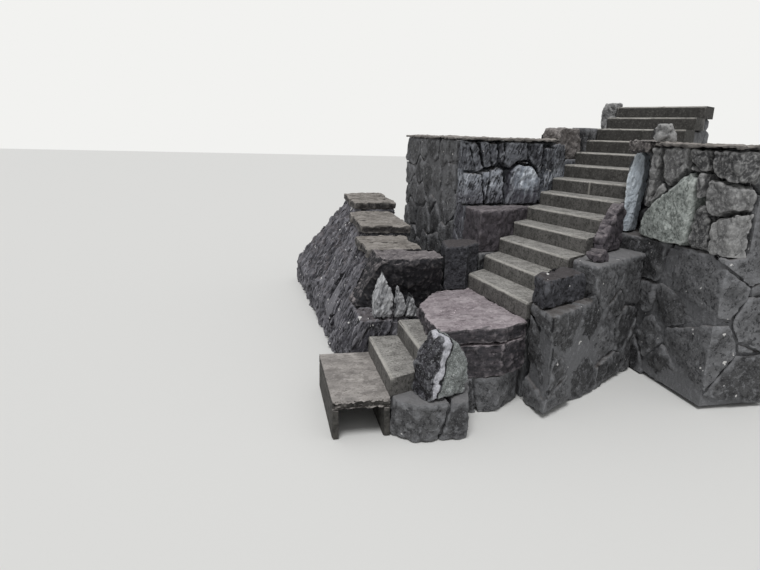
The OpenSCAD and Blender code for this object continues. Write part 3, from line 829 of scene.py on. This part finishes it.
def slates(node, name, spacing, seed, stretch, voxel, layers, keep):
    """Fits slates to one length of the long wall, roughens them along the grain and finishes it."""
    wall = fitted_stones(node, spacing, seed, grain=ROAD_GRAIN, stretch=stretch, joint=0.004,
                         ease=0.008, voxel=voxel)
    roughen(wall, hollows=0.03, chips=0.02, grit=0.01, layers=layers, guide=ROAD_GUIDE, keep=keep,
            bed=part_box(node)[1][2])
    finish(wall, name, ROAD_STONE, "dark_stone", node)


for number, bay in enumerate(BAYS):
    node = "roadside_wall_" + bay
    slates(node, node + "_slates", (0.6, 0.32, 0.5), 4 + number, 2.6, SKINS[bay], 0.09, 0.45)
slates("corner_base", "corner_slates", (0.5, 0.32, 0.45), 8, 2, 0.015, 0.07, 0.4)

# %% [markdown]
# ## The upper walls and the masonry beside the flight
#
# Further up the stones are rounder, and they lie in rough courses. What is turned to the back, or
# stands under the flight, gets the same stones with a coarser skin. The top of each wall is kept
# level, because a coping or a step beds on it.

# %% Boulder masonry
MASONRY = {
    "right_wall": dict(spacing=(0.38, 0.38, 0.34), seed=3, voxel=0.024),
    "left_wall": dict(spacing=(0.36, 0.36, 0.34), seed=7, voxel=0.023, grain=LEAN_GRAIN, stretch=1.3),
    "left_flank": dict(spacing=(0.36, 0.36, 0.33), seed=9),
    "right_flank": dict(spacing=(0.38, 0.36, 0.33), seed=10),
    "terrace_wall": dict(spacing=(0.46, 0.42, 0.36), seed=11, voxel=0.03),
    "crest_flank": dict(spacing=(0.36, 0.36, 0.33), seed=12, voxel=0.028),
    "lower_footing": dict(spacing=(0.38, 0.38, 0.35), seed=13),
    "flight_core": dict(spacing=(0.4, 0.4, 0.36), seed=14, voxel=0.036),
}
for node, cutting in MASONRY.items():
    wall = fitted_stones(node, **cutting)
    roughen(wall, keep=0.33, bed=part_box(node)[1][2])
    material = LEAN_STONE if node == "left_wall" else WALL_STONE
    finish(wall, node + "_stones", material, "dark_stone", node)

# %% [markdown]
# ## Single boulders
#
# The big stones are copies of their solids, with flat chips broken off where they stick out
# furthest, then the same skin and reliefs as the masonry. A chip is one plane cut, placed a
# little inside the stone's furthest corner in a chance direction.

# %% Break chips off single stones
def loose_stones(block):
    """Parts a copy of a node into its separate stones."""
    pick(block)
    bpy.ops.object.mode_set(mode="EDIT")
    bpy.ops.mesh.select_all(action="SELECT")
    bpy.ops.mesh.separate(type="LOOSE")
    bpy.ops.object.mode_set(mode="OBJECT")
    return list(bpy.context.selected_objects)


def chipped(stone, chance, count, bite):
    """Planes that take a bite off a stone in chance directions."""
    corners = [vertex.co for vertex in stone.data.vertices]
    cuts = []
    for chip in range(count):
        way = Vector([chance.gauss(0, 1) for a in range(3)]).normalized()
        reach = max(corner.dot(way) for corner in corners)
        cuts.append((way * (reach - chance.uniform(0.3, 1) * bite), way))
    return cuts


def boulders(node, seed, chips=12, bite=0.04, ease=0.01, voxel=0.01, shades=None):
    """Chips each stone of a node. Shades, where given, are those of its stones from the left."""
    chance = random.Random(seed)
    stones = loose_stones(rough_copy(node))
    stones.sort(key=lambda stone: min(vertex.co.x for vertex in stone.data.vertices))
    for number, stone in enumerate(stones):
        if chips:
            cut_away(stone, chipped(stone, chance, chips, bite))
        skin(stone, ease, voxel, shades[number] if shades else chance.random())
    print(node, len(stones), "stones")
    return joined(stones)


def rock(node, seed, material, slot, cutting, name=None, **reliefs):
    """Chips, roughens and finishes the boulders of one node."""
    piece = boulders(node, seed, **cutting)
    roughen(piece, **reliefs)
    finish(piece, name or node + "_rock", material, slot, node)


# %% [markdown]
# ## The landing
#
# The third step is one big boulder with a flat, riven top. Its top stays nearly level, and its
# sides are broken along the layers. A stack of thin slabs would show edges as if they were sawn,
# so the sides are pushed in and out by a noise that is drawn out level.

# %% Landing
for node, seed in (("landing_stone", 21), ("landing_base", 22)):
    rock(node, seed, LANDING_STONE, "purple_stone", dict(chips=0, ease=0.015, voxel=0.013),
         hollows=0.03, chips=0.03, grit=0.01, layers=0.02, guide=FLAT_GUIDE)

# %% [markdown]
# ## Boulders round the landing
#
# Seven pieces stand round the landing: the black corner boulder with its brown top, three white
# wedges set on end, a post, a ledge and a block beside the flight, the banded boulder at its toe
# and small stones on the flank. They differ in how much was chipped off, in how deep the relief
# goes and in their rock, so each is one call with those values.

# %% Boulders round the landing
rock("corner_boulder", 23, CORNER_STONE, "purple_stone", dict(chips=8, bite=0.03), hollows=0.05)
rock("wedge_stones", 24, WEDGE_STONE, "pale_stone",
     dict(bite=0.03, voxel=0.008, shades=(0.7, 0.6, 0.1)), chips=0.04, layers=0.02, guide=LEAN_GUIDE)
rock("post_stone", 25, BLACK_STONE, "dark_stone",
     dict(chips=3, bite=0.02), hollows=0.02, chips=0.03)
rock("ledge_stone", 26, LEDGE_STONE, "purple_stone",
     dict(chips=6, bite=0.02, voxel=0.013), hollows=0.04, chips=0.04)
rock("toe_boulder", 27, TOE_STONE, "grey_stone", dict(chips=10), hollows=0.04)
rock("block_stone", 28, BLACK_STONE, "dark_stone", dict(chips=10, bite=0.05), hollows=0.05)
rock("flank_boulders", 29, LEDGE_STONE, "dark_stone", dict(bite=0.03), hollows=0.05)

# %% [markdown]
# ## Face stones and the stones on the walls
#
# The two upper walls have faces of big chosen stones, which the frame already holds one by one in
# their true outlines. They lean on the left wall and are rounder on the right.

# %% Stones of the upper walls
rock("left_wall_boulders", 31, LEAN_STONE, "dark_stone", dict(chips=8, bite=0.03, voxel=0.012),
     name="left_wall_face", chips=0.04, layers=0.02, guide=LEAN_GUIDE)
rock("streaked_boulder", 32, PALE_STONE, "pale_stone",
     dict(chips=8, bite=0.03), hollows=0.05, chips=0.04, layers=0.015, guide=LEAN_GUIDE)
rock("right_wall_boulders", 33, GREY_STONE, "grey_stone", dict(bite=0.03), name="right_wall_face")
rock("wavy_boulder", 34, GREEN_STONE, "grey_stone", {}, hollows=0.05, chips=0.03)
rock("pale_slab", 35, SLAB_STONE, "pale_stone",
     dict(chips=5, bite=0.015), hollows=0.02, chips=0.015, layers=0.01, guide=LEAN_GUIDE)
rock("perched_stone", 36, BROWN_STONE, "grey_stone", {})
rock("crest_boulder", 37, BROWN_STONE, "grey_stone", dict(bite=0.05), hollows=0.05)
rock("top_boulders", 38, GREY_STONE, "grey_stone", dict(bite=0.05), hollows=0.05)

# %% [markdown]
# ## Copings
#
# Flat flags cap every wall. They are rough at their ends and layered across. The frame holds them
# one by one, so each only needs its broken edges and the hollows of its top.

# %% Copings
COPINGS = ["roadside_coping_" + bay for bay in BAYS] + ["left_coping", "right_coping", "terrace_coping"]
for number, node in enumerate(COPINGS):
    rock(node, 41 + number, COPING_STONE, "purple_stone", dict(chips=0, voxel=0.015),
         name=node + "_flags", hollows=0.04, chips=0.04, layers=0.01, guide=FLAT_GUIDE)

# %% [markdown]
# ## The concrete steps
#
# Each step is a copy of its solid, cut across and along into small faces, closest together at the
# nosing, where the detail is. A remesh would blur that edge. The riser's direction is read from
# the mesh, because each step of the flight is turned a little more than the last.

# %% Slice a step into faces
ACROSS = 0.02
BEHIND = (0.006, 0.014, 0.024, 0.04, 0.07, 0.13, 0.22)
BELOW = (0.006, 0.014, 0.024, 0.045, 0.09)
UPRIGHT = 0.1
OUTWARD = -0.5


def riser_of(block):
    """A point and the normal of a step's riser: the largest upright face that looks out."""
    faces = [face for face in block.data.polygons
             if abs(face.normal.z) < UPRIGHT and face.normal.x < OUTWARD]
    riser = max(faces, key=lambda face: face.area)
    return riser.center.copy(), riser.normal.copy()


def slice_by(piece, planes):
    """Cuts faces along planes without taking anything away."""
    pick(piece)
    bpy.ops.object.mode_set(mode="EDIT")
    for point, direction in planes:
        bpy.ops.mesh.select_all(action="SELECT")
        bpy.ops.mesh.bisect(plane_co=point, plane_no=direction)
    bpy.ops.object.mode_set(mode="OBJECT")


def sliced_step(node, top):
    """A copy of a step cut into faces, with a point of its riser and the riser's normal."""
    step = rough_copy(node)
    face, out = riser_of(step)
    side = UP.cross(out)
    reaches = [(vertex.co - face).dot(side) for vertex in step.data.vertices]
    columns = round((max(reaches) - min(reaches)) / ACROSS)
    planes = [(face + side * (min(reaches) + (i + 0.5) * ACROSS), side) for i in range(columns)]
    planes += [(face - out * back, out) for back in BEHIND]
    planes += [(Vector((0, 0, top - down)), UP) for down in BELOW]
    slice_by(step, planes)
    return step, face, out


# %% [markdown]
# ## Worn nosings and one mortared seam
#
# How near a point lies to the nosing says two things: how pale it is worn, which the finish reads
# from an attribute, and how far noise may crumble it. One riser halfway up was cast in two parts,
# and the seam between them was filled with pale mortar, so its place is kept as an attribute too.

# %% Concrete steps
BAND = 0.035
DOWN_COUNTS = 1.6
WORN_FROM = 1.8
CRUMBLE_LEAST = 0.06
CRUMBLE = 0.03
SEAM_WIDE = 0.6 * ACROSS
SEAM_DEEP = 0.01
SEAM_STEP, SEAM_AT = "step_10", -0.02
CRUMBS = relief("crumbs", "CLOUDS", 0.06, noise_type="HARD_NOISE", noise_depth=3)


def concrete_step(node):
    """Slices one step, marks where it is worn or mortared, and crumbles its nosing."""
    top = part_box(node)[1][2]
    step, face, out = sliced_step(node, top)
    nosing = step.vertex_groups.new(name="nosing")
    worn, mortar = [], []
    for vertex in step.data.vertices:
        back = -(vertex.co - face).dot(out)
        near = max(0.0, 1 - max(back, DOWN_COUNTS * (top - vertex.co.z)) / BAND)
        worn.append(min(1.0, WORN_FROM * near))
        nosing.add([vertex.index], max(CRUMBLE_LEAST, near), "REPLACE")
        off_seam = abs((vertex.co - face).dot(UP.cross(out)) - SEAM_AT)
        mortar.append(float(node == SEAM_STEP and off_seam < SEAM_WIDE and back < SEAM_DEEP))
    for name, values in (("worn", worn), ("mortar", mortar)):
        step.data.attributes.new(name, "FLOAT", "POINT").data.foreach_set("value", values)
    apply(step, "DISPLACE", texture=CRUMBS, strength=CRUMBLE, mid_level=0.55,
          texture_coords="LOCAL", vertex_group="nosing")
    smooth(step, CAST_CREASE)
    finish(step, node + "_concrete", STEP_CONCRETE, "concrete", node)


for node in sorted(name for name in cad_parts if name.startswith("step_")):
    concrete_step(node)

# %% [markdown]
# ## The entry slab
#
# The way in is a thin slab on two low bearers. Its near edge was never cleaned up after casting:
# it is broken and ragged, which is what the eye sees first. So it is remeshed to small faces and
# pushed in by noise, most at that edge and hardly at all elsewhere.

# %% Slab and bearers
RAGGED_BAND = 0.05
RAGGED_LEAST = 0.12


def cast_slab(node, voxel, edge_depth):
    """Copies a cast piece, breaks its near edge and finishes it."""
    slab = rough_copy(node)
    near_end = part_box(node)[0][1]
    apply(slab, "REMESH", mode="VOXEL", voxel_size=voxel)
    ragged = slab.vertex_groups.new(name="ragged")
    for vertex in slab.data.vertices:
        near = max(0.0, 1 - (vertex.co.y - near_end) / RAGGED_BAND)
        ragged.add([vertex.index], max(RAGGED_LEAST, near), "REPLACE")
    apply(slab, "DISPLACE", texture=CRUMBS, strength=edge_depth, mid_level=0.62,
          texture_coords="LOCAL", vertex_group="ragged")
    keep_off_floor(slab)
    apply(slab, "DECIMATE", ratio=0.5)
    smooth(slab, CAST_CREASE)
    finish(slab, node + "_concrete", SLAB_CONCRETE, "concrete", node)


cast_slab("entry_slab", 0.01, 0.05)
cast_slab("road_bearer", 0.014, 0.02)
cast_slab("wall_bearer", 0.014, 0.02)

# %% [markdown]
# ## Floor and light
#
# The floor is plain and pale. The light is soft, from an even white world and one wide sun, high
# up behind the camera and to its left, so that treads are brighter than risers but every face can
# be read. What the camera sees behind the part is paler than what lights it.

# %% Clear the guides and set the stage
FLOOR_WIDE = 120
AROUND = 0.5
SUN_STRENGTH, SUN_WIDE = 1.7, 0.4

for guide in guides:
    bpy.data.objects.remove(guide)

bpy.ops.object.select_all(action="DESELECT")
bpy.ops.mesh.primitive_plane_add(size=FLOOR_WIDE)
floor = bpy.context.object
floor.name = "floor"
paper, _, paper_shader, _ = start_material("pale_floor", roughness=0.9)
paper_shader.inputs["Base Color"].default_value = linear("#dcdcda")
floor.data.materials.append(paper)

world = bpy.data.worlds.new("open_sky")
world.use_nodes = True
sky_tree = world.node_tree
sky = sky_tree.nodes["Background"]
sky.inputs["Color"].default_value = linear("#ffffff")
sky.inputs["Strength"].default_value = AROUND
backdrop = add(sky_tree, "ShaderNodeBackground", {"Color": linear("#f2f2f0"), "Strength": 1})
seen = add(sky_tree, "ShaderNodeLightPath").outputs["Is Camera Ray"]
sky_or_backdrop = add(sky_tree, "ShaderNodeMixShader", {},
                      {0: seen, 1: sky.outputs[0], 2: backdrop.outputs[0]})
sky_tree.links.new(sky_or_backdrop.outputs[0], sky_tree.nodes["World Output"].inputs["Surface"])
bpy.context.scene.world = world
bpy.ops.object.light_add(type="SUN", rotation=(math.radians(20), math.radians(-12), 0))
sun = bpy.context.object
sun.data.energy = SUN_STRENGTH
sun.data.angle = SUN_WIDE

# %% [markdown]
# ## Camera
#
# The camera stands in front of the steps, 2.5 m up, and looks down at them. The level copings give
# the horizon, and the edges of the steps, fitted together, give its place, its turns and its lens.
# A camera's axes are its right, its up and its back, so they go straight into its matrix.

# %% Camera at the photograph's view
EYE = Vector((-1.035, -4.820, 2.51))
HEADING, PITCH, ROLL = math.radians(12), math.radians(14.9), math.radians(1.6)
FOCAL_PIXELS, PICTURE_WIDTH, SENSOR = 571, 760, 36
FAR_END = 300

level_way = Vector((math.sin(HEADING), math.cos(HEADING), 0))
right = Vector((math.cos(HEADING), -math.sin(HEADING), 0))
ahead = level_way * math.cos(PITCH) - UP * math.sin(PITCH)
above = right.cross(ahead)
tilted_right = right * math.cos(ROLL) + above * math.sin(ROLL)
tilted_up = above * math.cos(ROLL) - right * math.sin(ROLL)
lens = bpy.data.cameras.new("camera")
lens.sensor_width = SENSOR
lens.lens = FOCAL_PIXELS * SENSOR / PICTURE_WIDTH
lens.clip_end = FAR_END
camera = bpy.data.objects.new("camera", lens)
bpy.context.collection.objects.link(camera)
axes = Matrix((tilted_right, tilted_up, -ahead)).transposed().to_4x4()
camera.matrix_world = Matrix.Translation(EYE) @ axes
bpy.context.scene.camera = camera
bpy.context.scene.view_settings.view_transform = "Standard"
print("focal length", round(lens.lens, 1), "mm")

# %% [markdown]
# ## Count the triangles
#
# The triangles of every finished piece are added up and printed. Only stone faces may stand
# a little proud.

# %% Count the triangles
print(sum(made.values()), "triangles in", len(made), "pieces")
